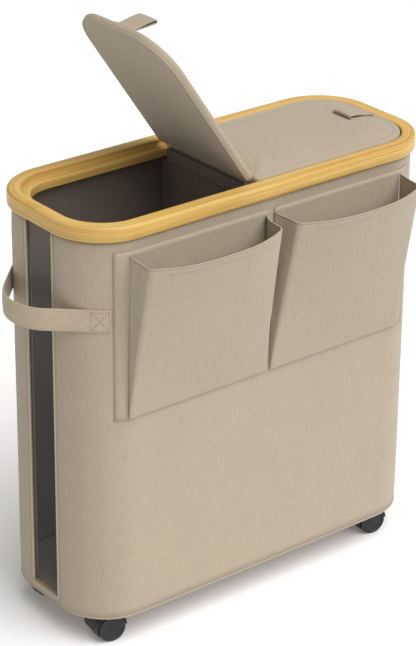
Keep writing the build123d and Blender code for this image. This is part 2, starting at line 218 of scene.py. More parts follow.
def tidy(made, merge=1e-5):
    """Merges doubled points, drops loose ones and turns every face outwards."""
    with editing(made) as bm:
        bmesh.ops.remove_doubles(bm, verts=bm.verts, dist=merge)
        bmesh.ops.delete(bm, geom=[v for v in bm.verts if not v.link_faces], context="VERTS")
        bmesh.ops.recalc_face_normals(bm, faces=bm.faces)
    return made


def apply_modifiers(made):
    """Bakes the modifiers into the mesh."""
    graph = bpy.context.evaluated_depsgraph_get()
    mesh = bpy.data.meshes.new_from_object(made.evaluated_get(graph))
    made.modifiers.clear()
    made.data = mesh
    return made


def thicken(made, thickness, offset=-1.0):
    """Gives a sheet its thickness; offset -1 grows it against its normals."""
    solid = made.modifiers.new("thickness", "SOLIDIFY")
    solid.thickness, solid.offset, solid.use_even_offset = thickness, offset, True
    return made


def smooth(made, levels=1):
    """A subdivision surface, the same in a view and in a render."""
    fine = made.modifiers.new("smooth", "SUBSURF")
    fine.levels = fine.render_levels = levels
    return made


def drift(a, b, wavelength, seed, waves=7):
    """Smooth repeatable noise of about -1 to 1 over two coordinates."""
    draw = np.random.default_rng(seed)
    total = np.zeros(np.broadcast(a, b).shape)
    for _ in range(waves):
        way, phase = draw.uniform(0, 2 * pi, 2)
        size = wavelength * draw.uniform(0.7, 1.6)
        total = total + np.sin(2 * pi * (a * cos(way) + b * sin(way)) / size + phase)
    return total / sqrt(2 * waves)


def ramp(value, low, high):
    """Smooth step from 0 at low to 1 at high."""
    t = np.clip((value - low) / (high - low), 0, 1)
    return t * t * (3 - 2 * t)


def stations(length, marks, step):
    """Arc lengths from 0 to length with every mark among them, no further apart than step."""
    marks = sorted({0.0, *marks, length})
    runs = [np.linspace(a, b, max(1, round((b - a) / step)) + 1)[:-1] for a, b in zip(marks, marks[1:])]
    return np.concatenate(runs + [[length]])


def plan_marks(hx, hy, r):
    """Arc lengths where a rounded rectangle's straight runs and corners meet, from the left end's middle."""
    corner = pi * r / 2
    lengths = [hy - r, corner, 2 * (hx - r), corner, 2 * (hy - r), corner, 2 * (hx - r), corner, hy - r]
    return np.cumsum(lengths)


def plan(s, hx, hy, r):
    """Points and outward normals round a rounded rectangle about CENTRE, anticlockwise from above."""
    marks = plan_marks(hx, hy, r)
    s = np.asarray(s, float)
    points, normals = np.zeros((len(s), 2)), np.zeros((len(s), 2))
    starts = np.concatenate([[0.0], marks[:-1]])
    corners = [(-1, -1), (1, -1), (1, 1), (-1, 1)]
    headings = [-pi / 2, 0, pi / 2, pi, -pi / 2]
    origins = [(-hx, 0.0), (-hx + r, -hy), (hx, -hy + r), (hx - r, hy), (-hx, hy - r)]
    for run in range(9):
        inside = (s >= starts[run]) & (s <= marks[run])
        t = s[inside] - starts[run]
        if run % 2 == 0:
            way = headings[run // 2]
            points[inside] = np.array(origins[run // 2]) + np.outer(t, (cos(way), sin(way)))
            normals[inside] = (sin(way), -cos(way))
        else:
            sx, sy = corners[run // 2]
            angle = headings[run // 2] - pi / 2 + t / r
            out = np.stack([np.cos(angle), np.sin(angle)], axis=1)
            points[inside] = np.array((sx * (hx - r), sy * (hy - r))) + r * out
            normals[inside] = out
    return points + np.array((CENTRE.x, CENTRE.y)), normals


def rounded_profile(corners, steps=5):
    """A closed outline from (x, y, radius) corners, each rounded with a smooth curve."""
    made = []
    count = len(corners)
    for k, (x, y, r) in enumerate(corners):
        here = np.array((x, y))
        before = np.array(corners[k - 1][:2]) - here
        after = np.array(corners[(k + 1) % count][:2]) - here
        if r <= 0:
            made.append(here)
            continue
        a, b = here + before / np.linalg.norm(before) * r, here + after / np.linalg.norm(after) * r
        for t in np.linspace(0, 1, steps):
            # A conic with this weight is a true quarter circle at a square corner.
            w = sqrt(0.5) * 2 * t * (1 - t)
            made.append(((1 - t) ** 2 * a + w * here + t * t * b) / ((1 - t) ** 2 + w + t * t))
    return np.array(made)


def wall_ring(name, offset, profile, finish, body="bin", step=0.006):
    """A closed profile of (inset, height) points swept round the body's plan, from an offset outline."""
    hx, hy, r = BODY_HX - offset, BODY_HY - offset, BODY_R - offset
    length = plan_marks(hx, hy, r)[-1]
    s = stations(length, plan_marks(hx, hy, r)[:-1], step)
    points, normals = plan(s[:-1], hx, hy, r)
    rows = []
    for inset, z in profile:
        flat = points - normals * inset
        rows.append(line_of(*flat.T, z))
    across = arc_lengths(profile, closed=True)
    uv = np.stack(np.meshgrid(s, across), axis=-1)
    made = grid(name, np.array(rows), uv, finish, body, wrap_u=True, wrap_v=True)
    return tidy(made)


def rounded_box(name, low, high, radius, finish, step):
    """A soft-edged block between two corners, gridded along Y."""
    low, high = np.array(low), np.array(high)
    (a0, y0, b0), (a1, y1, b1) = low, high
    profile = rounded_profile([(a0, b0, radius), (a1, b0, radius), (a1, b1, radius), (a0, b1, radius)], 4)
    dense = densify(profile, step)
    centre = (dense.max(0) + dense.min(0)) / 2
    length = y1 - y0
    run = np.linspace(radius, length - radius, max(2, round(length / step)))
    along = np.concatenate([[0, 0.15 * radius, 0.5 * radius], run,
                            [length - 0.5 * radius, length - 0.15 * radius, length]])
    shrink = [1, 0.55, 0.15] + [0] * (len(along) - 6) + [0.15, 0.55, 1]
    rows = []
    for x, s in zip(along, shrink):
        half = (dense.max(0) - dense.min(0)) / 2
        ring = centre + (dense - centre) * (1 - s * 0.7 * radius / half)
        rows.append(line_of(ring[:, 0], y0 + x, ring[:, 1]))
    points = np.array(rows)
    around = arc_lengths(dense, closed=True)
    uv = np.stack(np.meshgrid(around, along), axis=-1)
    made = grid(name, points, uv, finish, wrap_u=True)
    with editing(made) as bm:
        cap_ends(bm, len(rows), len(dense))
        bmesh.ops.triangulate(bm, faces=[f for f in bm.faces if len(f.verts) > 4])
        bmesh.ops.recalc_face_normals(bm, faces=bm.faces)
    return made


def frame_along(path, closed):
    """Unit tangents along a path of points."""
    if closed:
        step = np.roll(path, -1, axis=0) - np.roll(path, 1, axis=0)
    else:
        step = np.gradient(path, axis=0)
    return unit(step)


def resample(path, pitch, closed=False):
    """Points along a path at about one pitch, and the values to read other arrays at."""
    if closed:
        path = np.vstack([path, path[:1]])
    length = arc_lengths(path)
    count = max(2, round(length[-1] / pitch))
    at = np.linspace(0, length[-1], count + 1)[:-1] if closed else np.linspace(0, length[-1], count)
    return np.stack([np.interp(at, length, path[:, k]) for k in range(3)], axis=1), at, length


def tube(name, path, radius, finish, slot, body="bin", closed=False, sides=10, squash=1.0, up=(0, 0, 1)):
    """A round cord or piping along a path of points."""
    path = np.asarray(path, float)
    way = frame_along(path, closed)
    side = unit(np.cross(way, np.array(up, float)))
    over = np.cross(side, way)
    turn = np.linspace(0, 2 * pi, sides, endpoint=False)
    rings = path[:, None] + radius * (side[:, None] * np.cos(turn)[:, None]
                                      + squash * over[:, None] * np.sin(turn)[:, None])
    length = arc_lengths(path, closed)
    uv = np.stack(np.meshgrid(np.linspace(0, 2 * pi * radius, sides + 1), length), axis=-1)
    made = grid(name, rings, uv, finish, body, wrap_u=True, wrap_v=closed)
    if not closed:
        with editing(made) as bm:
            cap_ends(bm, len(path), sides)
    return finished(tidy(made), slot)


def stitches(name, path, normals, slot, body="bin", finish="thread", closed=False, pitch=0.0034,
             radius=THREAD_R):
    """A row of sewn stitches: one small capsule of thread for each. One normal may serve them all."""
    path = np.asarray(path, float)
    normals = np.array(np.broadcast_to(np.asarray(normals, float), path.shape))
    spots, at, length = resample(path, pitch, closed)
    if closed:
        normals = np.vstack([normals, normals[:1]])
    up = unit(np.stack([np.interp(at, length, normals[:, k]) for k in range(3)], axis=1))
    way = frame_along(spots, closed)
    side = unit(np.cross(up, way))
    sides, places = 6, [(-1.0, 0.0), (-0.86, 0.75), (-0.4, 1.0), (0.4, 1.0), (0.86, 0.75), (1.0, 0.0)]
    turn = np.linspace(0, 2 * pi, sides, endpoint=False)
    template = [(-1, 0, 0)]
    for x, r in places[1:-1]:
        template += [(x, r * cos(t), r * sin(t)) for t in turn]
    template.append((1, 0, 0))
    template = np.array(template)
    faces = [(0, 1 + (k + 1) % sides, 1 + k) for k in range(sides)]
    for ring_start in (1, 1 + sides, 1 + 2 * sides):
        for k in range(sides):
            n = (k + 1) % sides
            faces.append((ring_start + k, ring_start + n, ring_start + sides + n, ring_start + sides + k))
    last, end = 1 + 3 * sides, 1 + 4 * sides
    faces += [(end, last + k, last + (k + 1) % sides) for k in range(sides)]
    half = pitch * STITCH_FILL / 2
    # Each stitch dips into the cloth at its ends.
    dip = -radius * 0.9 * template[:, 0] ** 2
    points = (spots[:, None] + way[:, None] * (template[:, 0] * half)[:, None]
              + side[:, None] * (template[:, 1] * radius)[:, None]
              + up[:, None] * (template[:, 2] * radius + dip)[:, None])
    count = len(template)
    all_faces = [tuple(v + k * count for v in face) for k in range(len(spots)) for face in faces]
    mesh = bpy.data.meshes.new(name)
    mesh.from_pydata(points.reshape(-1, 3).tolist(), [], all_faces)
    mesh.shade_smooth()
    made = add_object(name, mesh, finish, body)
    with editing(made) as bm:
        bmesh.ops.recalc_face_normals(bm, faces=bm.faces)
    return finished(made, slot)


def inflate(made, pinned, pressure, cap, frames=20, stiffness=12.0):
    """Swells a closed padded cover by cloth simulation, with its sewn and backed points held."""
    group = made.vertex_groups.new(name="held")
    group.add([int(v) for v in pinned], 1.0, "REPLACE")
    cloth = made.modifiers.new("cloth", "CLOTH").settings
    cloth.quality, cloth.mass = 6, 0.25
    cloth.tension_stiffness = cloth.compression_stiffness = cloth.shear_stiffness = stiffness
    cloth.bending_stiffness = 0.8
    cloth.use_pressure, cloth.uniform_pressure_force = True, pressure
    cloth.vertex_group_mass = "held"
    cloth.effector_weights.gravity = 0
    scene.frame_start, scene.frame_end = 1, frames
    rest = np.array([v.co for v in made.data.vertices])
    for step in range(1, frames + 1):
        scene.frame_set(step)
    graph = bpy.context.evaluated_depsgraph_get()
    shaped = made.evaluated_get(graph).to_mesh()
    moved = np.array([v.co for v in shaped.vertices]) - rest
    made.evaluated_get(graph).to_mesh_clear()
    size = np.linalg.norm(moved, axis=1)[:, None] + 1e-12
    moved *= np.tanh(size / cap) * cap / size
    made.modifiers.clear()
    made.vertex_groups.clear()
    made.data.vertices.foreach_set("co", (rest + moved).astype(np.float32).ravel())
    made.data.update()
    scene.frame_set(1)
    return made


# ---- node materials -------------------------------------------------------------------------
def srgb(r, g, b):
    """A colour given as on a colour chart, 0 to 255, in linear light."""
    def linear(c):
        c /= 255
        return c / 12.92 if c <= 0.04045 else ((c + 0.055) / 1.055) ** 2.4
    return linear(r), linear(g), linear(b), 1.0


class Paint:
    """One node material: add() puts in a node and gives its first output."""

    def __init__(self, name, roughness, **sockets):
        self.material = bpy.data.materials.new(name)
        self.material.use_nodes = True
        self.tree = self.material.node_tree
        self.shader = self.tree.nodes["Principled BSDF"]
        self.shader.inputs["Roughness"].default_value = roughness
        for socket, value in sockets.items():
            self.shader.inputs[socket.replace("_", " ")].default_value = value

    def add(self, kind, inputs=(), out=0, **settings):
        node = self.tree.nodes.new("ShaderNode" + kind)
        for key, value in settings.items():
            setattr(node, key, value)
        named = inputs.items() if isinstance(inputs, dict) else enumerate(inputs)
        for key, value in named:
            if value is None:
                continue
            if isinstance(value, bpy.types.NodeSocket):
                self.tree.links.new(value, node.inputs[key])
            else:
                node.inputs[key].default_value = value
        return node.outputs[out]

    def math(self, operation, *values):
        return self.add("Math", values, operation=operation)

    def times(self, *values):
        return self.math("MULTIPLY", *values)

    def plus(self, *values):
        return self.math("ADD", *values)

    def minus(self, *values):
        return self.math("SUBTRACT", *values)

    def mix(self, factor, a, b, blend_type="MIX"):
        node = self.tree.nodes.new("ShaderNodeMix")
        node.data_type, node.blend_type = "RGBA", blend_type
        for socket, value in ((node.inputs[0], factor), (node.inputs[6], a), (node.inputs[7], b)):
            if isinstance(value, bpy.types.NodeSocket):
                self.tree.links.new(value, socket)
            else:
                socket.default_value = value
        return node.outputs[2]

    def spread(self, value, low, high, to_low=0.0, to_high=1.0):
        """A value moved from one range to another, clamped."""
        return self.add("MapRange", [value, low, high, to_low, to_high])

    def even(self, noise, *to):
        """Noise, which gathers round a half, spread over the whole range."""
        return self.spread(noise, 0.3, 0.7, *to)

    def flat(self, colour):
        return self.mix(0.0, colour, colour)

    def noise(self, place, scale, detail=2.0, roughness=0.5):
        settings = {"Vector": place, "Scale": scale, "Detail": detail, "Roughness": roughness}
        return self.add("TexNoise", settings)

    def stretch(self, place, x, y, z=1.0):
        return self.add("Mapping", {"Vector": place, "Scale": (x, y, z)})

    def uv(self):
        return self.add("UVMap", uv_map="weave")

    def object_place(self):
        return self.add("TexCoord", out=3)

    def tint(self, colour, value, low, high):
        """The colour darkened and lightened by a 0 to 1 value."""
        factor = self.spread(value, 0.0, 1.0, low, high)
        grey = self.add("CombineColor", [factor, factor, factor])
        return self.mix(1.0, colour, grey, "MULTIPLY")

    def finish(self, colour, bump=None, strength=0.3, distance=0.0003, roughness=None):
        self.tree.links.new(colour, self.shader.inputs["Base Color"])
        if bump is not None:
            normal = self.add("Bump", {"Strength": strength, "Distance": distance, "Height": bump})
            self.tree.links.new(normal, self.shader.inputs["Normal"])
        if roughness is not None:
            self.tree.links.new(roughness, self.shader.inputs["Roughness"])
        return self.material


def weave(name, colour, pitch, blotch=0.02, streak=0.05, depth=0.16, roughness=0.86, sheen=0.18, rib=1.0):
    """Plain-weave cloth: crossing threads, slubs along the warp, slow colour drift, and painted shade in the
    gaps between the threads.
    """
    p = Paint(name, roughness, Sheen_Weight=sheen, Sheen_Roughness=0.55, Specular_IOR_Level=0.18)
    place = p.uv()
    across, up = (p.add("SeparateXYZ", [place], out=k) for k in (0, 1))
    u, v = p.times(across, 1 / pitch), p.times(up, rib / pitch)
    cell = p.plus(p.math("FLOOR", u), p.math("FLOOR", v))
    over = p.math("FLOORED_MODULO", cell, 2.0)
    warp = p.math("ABSOLUTE", p.math("SINE", p.times(u, pi)))
    weft = p.math("ABSOLUTE", p.math("SINE", p.times(v, pi)))
    warp_top = p.times(warp, p.math("MULTIPLY_ADD", weft, 0.45, 0.55))
    weft_top = p.times(weft, p.math("MULTIPLY_ADD", warp, 0.45, 0.55))
    height = p.plus(p.times(warp_top, over),
                    p.times(weft_top, p.minus(1.0, over)))
    slow = p.noise(place, 14.0, 3.0)
    slubs = p.noise(p.stretch(place, 700.0, 70.0), 1.0, 2.0)
    cross_slubs = p.noise(p.stretch(place, 70.0, 700.0), 1.0, 2.0)
    shade = p.tint(colour, p.even(slow), 1 - blotch, 1 + blotch)
    shade = p.tint(shade, p.even(slubs), 1 - streak, 1 + streak)
    shade = p.tint(shade, p.even(cross_slubs), 1 - streak * 0.6, 1 + streak * 0.6)
    # Painted shade: the colour darkens where the threads dip between each other and lightens a little on
    # their crowns; depth sets how much.
    shade = p.tint(shade, height, 1 - depth, 1 + depth * 0.35)
    rough = p.even(slow, roughness - 0.05, min(1.0, roughness + 0.05))
    relief = p.plus(height, p.times(slubs, 0.8))
    return p.finish(shade, relief, 0.35, 0.00022, rough)


def bamboo():
    """Bent laminated bamboo: long fibres, thin glue lines, and node marks in each strip."""
    p = Paint("bamboo", 0.42, Coat_Weight=0.12, Coat_Roughness=0.25, Specular_IOR_Level=0.3)
    place = p.uv()
    along, across = (p.add("SeparateXYZ", [place], out=k) for k in (0, 1))
    strip_w, node_pitch = 0.0046, 0.31
    strips = p.times(across, 1 / strip_w)
    strip = p.math("FLOOR", strips)
    own = p.add("TexWhiteNoise", {"W": strip}, noise_dimensions="1D")
    fibres = p.noise(p.stretch(place, 9.0, 1500.0), 1.0, 4.0, 0.62)
    streaks = p.noise(p.stretch(place, 3.5, 330.0), 1.0, 3.0, 0.55)
    slow = p.noise(p.stretch(place, 9.0, 30.0), 1.0, 2.0)
    light, mid, deep = srgb(217, 187, 113), srgb(195, 152, 72), srgb(157, 101, 40)
    colour = p.mix(p.spread(streaks, 0.33, 0.68), mid, light)
    colour = p.mix(p.spread(fibres, 0.46, 0.74, 0.0, 0.7), colour, deep)
    colour = p.tint(colour, own, 0.90, 1.07)
    colour = p.tint(colour, p.even(slow), 0.94, 1.05)
    glue = p.math("ABSOLUTE", p.minus(p.math("FRACT", strips), 0.5))
    glue_line = p.spread(glue, 0.462, 0.5)
    colour = p.mix(p.times(glue_line, 0.5), colour, srgb(150, 92, 36))
    shifted = p.math("FRACT", p.plus(p.times(along, 1 / node_pitch), p.times(own, 7.3)))
    node = p.math("ABSOLUTE", p.minus(shifted, 0.5))
    chance = p.add("TexWhiteNoise", {"W": p.times(strip, 3.7)}, noise_dimensions="1D")
    some = p.math("GREATER_THAN", chance, 0.6)
    node_band = p.times(p.minus(1.0, p.spread(node, 0.0, 0.024)), some)
    colour = p.mix(p.times(node_band, 0.16), colour, srgb(150, 96, 44))
    relief = p.minus(fibres, p.plus(p.times(glue_line, 1.2), p.times(node_band, 0.2)))
    rough = p.even(fibres, 0.32, 0.48)
    return p.finish(colour, relief, 0.22, 0.0002, rough)


def moulded(name, colour, roughness=0.5, grain=2600.0, wear=srgb(88, 88, 88)):
    """Moulded nylon: fine spark-eroded grain, slow gloss changes and paler rubbed patches."""
    p = Paint(name, roughness, Specular_IOR_Level=0.42)
    place = p.object_place()
    fine = p.noise(place, grain, 2.0)
    slow = p.noise(place, 60.0, 3.0)
    shade = p.tint(p.flat(colour), p.even(slow), 0.86, 1.14)
    shade = p.mix(p.spread(p.noise(place, 210.0, 4.0, 0.7), 0.66, 0.9, 0.0, 0.28), shade, wear)
    rough = p.even(slow, roughness - 0.08, roughness + 0.1)
    return p.finish(shade, fine, 0.16, 0.0001, rough)


def steel():
    """Zinc-plated steel with faint brushing and spangle."""
    p = Paint("zinc_steel", 0.34, Metallic=1.0)
    place = p.object_place()
    spangle = p.add("TexVoronoi", {"Vector": place, "Scale": 420.0})
    brushed = p.noise(p.stretch(place, 60.0, 60.0, 4000.0), 1.0, 3.0)
    base = srgb(196, 198, 200)
    shade = p.tint(p.flat(base), p.spread(spangle, 0.0, 0.6), 0.86, 1.06)
    rough = p.even(brushed, 0.26, 0.46)
    return p.finish(shade, brushed, 0.12, 0.00005, rough)


def board(name, colour, fibre, roughness=0.82):
    """Pressed board: short fibres and mottling."""
    p = Paint(name, roughness, Specular_IOR_Level=0.2)
    place = p.object_place()
    mottled = p.noise(place, 90.0, 5.0, 0.65)
    fibres = p.noise(p.stretch(place, 220.0, 1400.0, 1400.0), 1.0, 3.0, 0.6)
    shade = p.tint(p.flat(colour), p.even(mottled), 0.88, 1.08)
    shade = p.mix(p.spread(fibres, 0.52, 0.78, 0.0, 0.55), shade, fibre)
    return p.finish(shade, fibres, 0.25, 0.0002, p.even(mottled, roughness - 0.08, roughness + 0.08))


def clear_film():
    """Flexible clear sheet: faint haze and a soft gloss."""
    p = Paint("clear_film", 0.12, Alpha=0.06, Specular_IOR_Level=0.4)
    place = p.object_place()
    haze = p.noise(place, 35.0, 3.0)
    tone = srgb(150, 152, 152)
    shade = p.tint(p.flat(tone), p.even(haze), 0.9, 1.08)
    return p.finish(shade, haze, 0.2, 0.0006, p.even(haze, 0.08, 0.2))


def thread(name, colour):
    """Twisted sewing thread."""
    p = Paint(name, 0.7, Sheen_Weight=0.2, Specular_IOR_Level=0.25)
    place = p.object_place()
    twist = p.noise(p.stretch(place, 1800.0, 1800.0, 1800.0), 1.0, 2.0)
    return p.finish(p.tint(p.flat(colour), p.even(twist), 0.82, 1.1), twist, 0.3, 0.0001)


BEIGE = srgb(169, 156, 136)
finishes = {
    "body": weave("beige_weave", BEIGE, 0.00075),
    "lid": weave("beige_lid_weave", srgb(165, 152, 132), 0.00075),
    "pocket": weave("beige_pocket_weave", srgb(170, 157, 137), 0.00075),
    "webbing": weave("beige_webbing", srgb(180, 165, 142), 0.0016, 0.03, 0.05, 0.26, rib=0.8),
    "binding": weave("pale_binding", srgb(184, 171, 149), 0.0006, 0.02, 0.03, 0.2),
    "lining": weave("grey_lining", srgb(112, 102, 93), 0.0008, 0.05, 0.05, 0.2, 0.92, 0.08),
    "bamboo": bamboo(),
    "board": board("grey_board", srgb(158, 145, 122), srgb(120, 108, 88)),
    "wood": board("base_fibreboard", srgb(150, 117, 80), srgb(108, 80, 52)),
    "film": clear_film(),
    "hood": moulded("black_nylon", srgb(24, 25, 26), 0.46, wear=srgb(62, 62, 62)),
    "wheel": moulded("black_tread", srgb(27, 28, 30), 0.42, 1800.0, wear=srgb(66, 66, 66)),
    "steel": steel(),
    "thread": thread("beige_thread", srgb(176, 163, 142)),
    "dark_thread": thread("grey_thread", srgb(104, 98, 92)),
}


# ---- body -----------------------------------------------------------------------------------
def rim():
    """Bent bamboo ring: flat outer band, rebate, and the lower ledge that the lids rest on."""
    inner = BAND_W + LEDGE_W
    profile = rounded_profile([
        (0, RIM_LOW, 0.003), (0, RIM_TOP, 0.003), (BAND_W, RIM_TOP, 0.002), (BAND_W, LEDGE_TOP, 0.0008),
        (inner, LEDGE_TOP, 0.002), (inner, RIM_LOW, 0.001)])
    made = wall_ring("rim", -RIM_OVERHANG, profile, "bamboo")
    made.modifiers.new("flat_faces", "WEIGHTED_NORMAL").keep_sharp = True
    finished(made, "bamboo", "bamboo_rim")


def wall_sheet(name, offset, thickness, z0, z1, finish, swell, pucker):
    """A sewn sheet round the body's plan, open at the window, with slight slack in the cloth."""
    hx, hy, r = BODY_HX - offset, BODY_HY - offset, BODY_R - offset
    marks = plan_marks(hx, hy, r)
    length = marks[-1]
    s = stations(length, [WINDOW_HY, length - WINDOW_HY, *marks[:-1]], 0.0045)
    z = stations(z1 - z0, [BASE_TOP - z0] if BASE_TOP > z0 else [], 0.007) + z0
    points, normals = plan(s, hx, hy, r)
    from_window = np.minimum(np.abs(s - WINDOW_HY), np.abs(length - WINDOW_HY - s))
    from_end = np.minimum(z - z0, z1 - z)
    held = np.outer(ramp(from_end, 0.0, 0.035), ramp(from_window, 0.0, 0.02))
    corner = sum(np.exp(-((s - (marks[k] + marks[k + 1]) / 2) / 0.035) ** 2) for k in (0, 2, 4, 6))
    around, up = np.meshgrid(s, z)
    slack = swell * (0.5 + 0.5 * drift(around, up * 0.6, 0.16, 3))
    # Upright tension lines where the cloth turns the corners.
    lines = pucker * corner * (0.5 + 0.5 * drift(around, up * 0.05, 0.014, 11))
    out = held * (slack + lines)
    flat = points[None] + normals[None] * out[..., None]
    rows = np.concatenate([flat, up[..., None]], axis=2)
    middle_s, middle_z = (s[1:] + s[:-1]) / 2, (z[1:] + z[:-1]) / 2
    beside = (middle_s < WINDOW_HY) | (middle_s > length - WINDOW_HY)
    keep = ~np.outer(middle_z > BASE_TOP, beside)
    closed = rows[:, :-1]
    made = grid(name, closed, np.stack([around, up], axis=-1), finish, wrap_u=True, keep=keep)
    thicken(tidy(made), thickness)
    return made


def body_cloth():
    """Outer cloth, lining, and the binding folded over the bottom hem."""
    outer = wall_sheet("outer_cloth", 0.0, FABRIC_T, HEM_Z, SHELL_TOP, "body", 0.0005, 0.00035)
    finished(outer, "beige_fabric", "outer_fabric")
    inner = FABRIC_T + BOARD_T
    dark = wall_sheet("lining_cloth", inner, LINING_T, lining_low.z, lining_high.z, "lining", 0.0, 0.0)
    finished(dark, "grey_lining", "lining")

    hem_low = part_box("hem_binding")[0].z
    lip, proud, leaf = HEM_Z + 0.0008, 0.0003, 0.0002
    across = FABRIC_T + BOARD_T
    profile = rounded_profile([
        (-proud, hem_low, 0.0006), (-proud, lip, 0.0004), (leaf, lip, 0.0002), (leaf, HEM_Z, 0.0001),
        (across, HEM_Z, 0.0002), (across, hem_low, 0.0005)], 4)
    finished(wall_ring("hem_tape", 0.0, profile, "body"), "binding", "hem_binding")
    hx, hy, r = BODY_HX, BODY_HY, BODY_R
    s = stations(plan_marks(hx, hy, r)[-1], [], 0.004)[:-1]
    points, normals = plan(s, hx, hy, r)
    line = line_of(*(points + normals * (proud + 0.00005)).T, HEM_Z + 0.0001)
    stitches("hem_stitches", line, line_of(*normals.T, 0.0), "binding", closed=True)


def window():
    """Clear film, the piping down both edges of the opening, and the sill sewn under it."""
    low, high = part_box("window_film")
    y, z = np.linspace(low.y, high.y, 15), np.linspace(low.z, high.z, 90)
    across, up = np.meshgrid(y, z)
    free = 1 - ((across - CENTRE.y) / (high.y - CENTRE.y)) ** 2
    bow = 0.0007 * free * (1 + drift(across, up, 0.11, 5))
    rows = np.stack([low.x + 0.0003 + bow, across, up], axis=-1)
    film = grid("window_sheet", rows, np.stack([across, up], axis=-1), "film")
    thicken(tidy(film), 0.0004, 0.0)
    finished(film, "clear_film", "window_film")

    face = body_low.x
    for side, label in ((-1, "front"), (1, "back")):
        heights = np.linspace(BASE_TOP - 0.001, SHELL_TOP, 60)
        edge = line_of(face - 0.0002, CENTRE.y + side * (WINDOW_HY + PIPING_W * 0.45), heights)
        tube(f"window_piping_{label}", edge, PIPING_W * 0.5, "binding", "binding",
                           sides=12, squash=0.55, up=(1, 0, 0))
        seam = edge + np.array((-0.0002, side * 0.0032, 0))
        stitches(f"window_stitches_{label}", seam, OUT_LEFT, "binding")
    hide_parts("window_piping")

    low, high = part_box("window_sill")
    sill = rounded_box("sill_band", (low.x - 0.0004, low.y, low.z), high, 0.0004, "body", step=0.004)
    finished(sill, "beige_fabric", "window_sill")
    run = np.linspace(low.y + 0.001, high.y - 0.001, 20)
    for k, height in enumerate((low.z + 0.0012, high.z - 0.0012)):
        stitches(f"sill_stitches_{k}", line_of(low.x - 0.00035, run, height), OUT_LEFT, "beige_fabric")


def inside():
    """Divider, the bar under the fold, and the seam tape between the lids."""
    low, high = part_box("divider_cover")
    divider = rounded_box("divider_panel", low, high, 0.0022, "lining", step=0.01)
    finished(divider, "grey_lining", "divider_cover")
    run = np.linspace(low.y + 0.004, high.y - 0.004, 40)
    for side, label, x in ((-1.0, "left", low.x), (1.0, "right", high.x)):
        stitches(f"divider_stitches_{label}", line_of(x, run, high.z - 0.006), (side, 0, 0), "grey_lining",
                 finish="dark_thread")

    low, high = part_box("centre_rail")
    rail = rounded_box("rail_wrap", low, high, 0.0016, "lining", step=0.008)
    finished(rail, "grey_lining", "centre_rail")
    run = np.linspace(low.y + 0.003, high.y - 0.003, 40)
    for label, x in (("left", low.x + 0.0022), ("right", high.x - 0.0022)):
        stitches(f"rail_stitches_{label}", line_of(x, run, high.z), UP, "grey_lining", finish="dark_thread")

    seam_low, seam_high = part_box("fold_seam")
    tape = rounded_box("fold_tape", (HINGE.x - 0.0002, seam_low.y, seam_low.z),
                       (HINGE.x + 0.0002, seam_high.y, seam_high.z), 0.0001, "lid", step=0.005)
    finished(tape, "beige_fabric", "fold_seam")
    bead = line_of(HINGE.x, np.linspace(seam_low.y + 0.001, seam_high.y - 0.001, 60), seam_high.z - 0.0006)
    tube("fold_piping", bead, 0.0011, "binding", "binding")


def fold_gusset(name, side, open_angle):
    """The cover's inner leaf at the fold: it fans out from the seam as its lid is raised."""
    seam_low, seam_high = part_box("fold_seam")
    radius = HINGE.z - seam_low.z - 0.0002
    inner, outer = 0.03, LID_END_GAP / radius
    span = np.linspace(inner, max(open_angle, outer * 1.6), 14)
    run = np.linspace(seam_low.y + 0.004, seam_high.y - 0.004, 30)
    turn, along = np.meshgrid(span, run)
    rows = np.stack([HINGE.x + side * radius * np.sin(turn), along, HINGE.z - radius * np.cos(turn)], axis=-1)
    leaf = grid(name, rows, np.stack([along, radius * turn], axis=-1), "lining", None)
    apply_modifiers(thicken(tidy(leaf), 0.0003, 0.0))
    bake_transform(leaf)


# ---- lids -----------------------------------------------------------------------------------
def lid_outline(side, inset):
    """One lid's plan at an inset from its edge: wide corners at the far end, tight ones at the fold."""
    near = LID_END_GAP + inset
    far = BAND_IN[0] - LID_GAP - inset + side * (CENTRE.x - HINGE.x)
    hy = BAND_IN[1] - LID_GAP - inset
    fold_r, end_r = max(LID_FOLD_R - inset, 0.005), max(LID_OUTER_R - inset, 0.004)
    corners = [(near, -hy, fold_r, 180, 5), (far, -hy, end_r, 270, 14),
               (far, hy, end_r, 0, 14), (near, hy, fold_r, 90, 5)]
    straight = [36, 9, 36, 30]
    ends, points = [], []
    for x, y, r, start, count in corners:
        turn = np.radians(np.linspace(start, start + 90, count))
        inward_x, inward_y = (r if x == near else -r), (r if y < 0 else -r)
        ends.append(np.column_stack([x + inward_x + r * np.cos(turn), y + inward_y + r * np.sin(turn)]))
    for k, arc in enumerate(ends):
        following = ends[(k + 1) % 4]
        t = np.linspace(0, 1, straight[k] + 2)[1:-1, None]
        points += [arc, arc[-1] * (1 - t) + following[0] * t]
    outline = np.vstack(points)
    return np.column_stack([HINGE.x + side * outline[:, 0], CENTRE.y + outline[:, 1]])


def raise_left(made, side):
    """The left lid is built closed and turned up about the fold."""
    if side < 0:
        turned = Matrix.Translation(HINGE) @ Matrix.Rotation(LID_REST, 4, "Y")
        made.data.transform(turned @ Matrix.Translation(-HINGE))
    return made


def border(inset):
    """How far the lid's top lies under its middle at an inset from the edge."""
    return BORDER_DROP * (1 - float(ramp(inset, 0.005, 0.017)))


